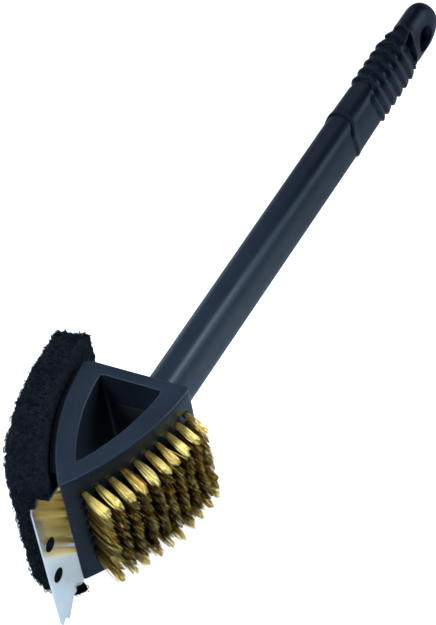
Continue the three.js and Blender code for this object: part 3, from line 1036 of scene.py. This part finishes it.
def pad_surface():
    """Rings of the pad's skin from one end face to the other, and the outward direction
    at every point. `end` is -1 or 1, the end of the pad's width."""
    section = pad_section()
    normal = outward(section)
    spine = pad_spine(section)
    half = PAD_HALF_WIDTH - PAD_SKIN

    def cap(t, end):
        rim = section - normal * PAD_ROUND
        return spine + (rim - spine) * t, end * half, (0, end)

    def rounded(angle, end):
        loop = section - normal * PAD_ROUND * (1 - math.sin(angle))
        z = end * (half - PAD_ROUND * (1 - math.cos(angle)))
        return loop, z, (math.sin(angle), end * math.cos(angle))

    cap_steps = (0, 0.25, 0.5, 0.75)
    quarter = np.linspace(0, math.pi / 2, PAD_ROUND_STEPS)
    straight = half - PAD_ROUND
    rings = [cap(t, -1) for t in cap_steps]
    rings += [rounded(a, -1) for a in quarter]
    rings += [(section, z, (1, 0)) for z in np.linspace(-straight, straight, PAD_RINGS)[1:-1]]
    rings += [rounded(a, 1) for a in quarter[::-1]]
    rings += [cap(t, 1) for t in reversed(cap_steps)]
    points, facing = [], []
    for loop, z, (outwards, endwards) in rings:
        points.append(np.column_stack([loop, np.full(len(loop), z)]))
        facing.append(np.column_stack([normal * outwards, np.full(len(loop), endwards)]))
    return np.array(points), np.array(facing)


def lumpy(point, scale, amount):
    return noise.fractal(Vector(point) * scale, 0.6, 2.1, 3) * amount


def nose_bulge(points):
    """Below the head's lower end the soft pad is free, and swells round under the nose."""
    past_end = smoothstep(1.0, 3.2, -HEAD_HALF_WIDTH - points[:, 2])
    near_nose = dip(points[:, 0] + 1, 7.0)
    on_inside = smoothstep(14, 5, points[:, 1])
    return NOSE_BULGE * past_end * near_nose * on_inside


def make_pad():
    """The pad's dense core: the plain skin, sunk a little and made lumpy. Returns the
    core's points, their outward directions, and the plain skin as rings of points."""
    skin, directions = pad_surface()
    rings, count, _ = skin.shape
    plain = skin.reshape(-1, 3)
    facing = directions.reshape(-1, 3)
    on_inner_face = facing[:, 1] < -0.3
    points = []
    for p, n, inner, push in zip(plain, facing, on_inner_face, nose_bulge(plain)):
        swell = lumpy(p, 0.35, 1.1) + lumpy(p, 0.08, 0.8)
        move = swell * (0.25 if inner else 1) - CORE_SUNK
        points.append(p + n * move + np.array([0.0, -push, 0.0]))
    core = make_piece("scouring_pad_core", points, ring_faces(rings, count), PAD_CORE, "scouring_fibre")
    weld(core)
    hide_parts("scouring_pad")
    return np.array(points), facing, skin


def make_fibres(name, surface, facing, area, seed):
    """Short curled nylon fibres over the pad's core, as many as each point has area for.
    Each one is part of a ring that stands on the core, with a slight corkscrew."""
    chance = np.random.default_rng(seed)
    pick = chance.choice(len(surface), FIBRES, p=area / area.sum())
    base = surface[pick] + chance.normal(0, 0.55, (FIBRES, 3))
    normal = facing[pick] / np.linalg.norm(facing[pick], axis=1)[:, None]
    tangent = np.cross(normal, chance.normal(0, 1, (FIBRES, 3)))
    tangent /= np.linalg.norm(tangent, axis=1)[:, None]
    tilt = chance.uniform(-1, 1, FIBRES)[:, None]
    up = normal * np.sqrt(1 - tilt ** 2 * 0.8) + np.cross(tangent, normal) * tilt * 0.9
    up /= np.linalg.norm(up, axis=1)[:, None]
    radius = chance.uniform(0.5, 1.35, FIBRES)[:, None]
    sweep = chance.uniform(2.2, 4.6, FIBRES)[:, None]
    turn = np.linspace(-0.5, 0.5, FIBRE_STEPS) * sweep
    lift = radius * (chance.uniform(-0.45, 0.1, FIBRES)[:, None] - 0.45)
    path = (
        base[:, None]
        + tangent[:, None] * (np.sin(turn) * radius)[:, :, None]
        + up[:, None] * (np.cos(turn) * radius + lift)[:, :, None]
        + np.cross(tangent, up)[:, None] * (turn * 0.25 * radius)[:, :, None]
    )
    thick = chance.uniform(0.12, 0.24, FIBRES)[:, None] * np.ones(FIBRE_STEPS)
    points, faces, bar, _ = tubes(path, thick, 3)
    tone = np.clip(chance.normal(0.45, 0.22, FIBRES), 0, 1)[bar]
    make_piece(name, points, faces, PAD_FIBRE, "scouring_fibre", tone=tone)


def cover_pad(surface, facing, skin):
    """Spreads two lots of fibres by area, with few of them on the hidden inner face."""
    around = np.linalg.norm(np.roll(skin, -1, 1) - skin, axis=2)
    along = np.linalg.norm(np.gradient(skin, axis=0), axis=2)
    area = (around * along).reshape(-1)
    area[facing[:, 1] < -0.5] *= 0.15
    make_fibres("scouring_pad_fibres_1", surface, facing, area, seed=40)
    make_fibres("scouring_pad_fibres_2", surface, facing, area, seed=41)


# ------------------------------------------------------- pieces that keep their CAD shape
def dress(node, material):
    """A CAD node whose shape is right keeps it, and gets its finish."""
    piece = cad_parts[node]
    piece.data.materials.clear()
    piece.data.materials.append(material)
    return piece


BLADE_HOLES = ((-17.1, -11.5), (-17.1, 11.5))
HOLE_WALL_REACH = 4.6


def dress_blade():
    """Bright sheet, with the walls of its two holes near-black as painted shade."""
    blade = dress("scraper_blade", STAINLESS)
    blade.data.materials.append(PAINTED_SHADE_STEEL)
    for face in blade.data.polygons:
        middle = (blade.matrix_world @ face.center - ORIGIN) / MM
        near = min(math.hypot(middle.x - x, middle.z - z) for x, z in BLADE_HOLES)
        if abs(face.normal.y) < 0.5 and near < HOLE_WALL_REACH:
            face.material_index = 1
    ease_edges(blade, 0.12)


def ease_edges(piece, width):
    edge = piece.modifiers.new("eased_edges", "BEVEL")
    edge.width = width * MM
    edge.segments = 2
    edge.limit_method = "ANGLE"
    edge.angle_limit = math.radians(40)
    edge.harden_normals = True


dress_blade()
# The retaining plate and the handle screw sit in the head's hollow, and are drawn near-black as its
# painted shade.
ease_edges(dress("retaining_plate", PAINTED_SHADE_STEEL), 0.25)
ease_edges(dress("handle_screw", PAINTED_SHADE_STEEL), 0.15)
for screw in ("blade_screw_1", "blade_screw_2", "pad_screw_1", "pad_screw_2"):
    ease_edges(dress(screw, ZINC), 0.15)
ease_edges(dress("pad_backing", BACKING), 0.3)

make_head()
make_handle()
for column in range(COLUMNS):
    make_bristle_column(column)
cover_pad(*make_pad())
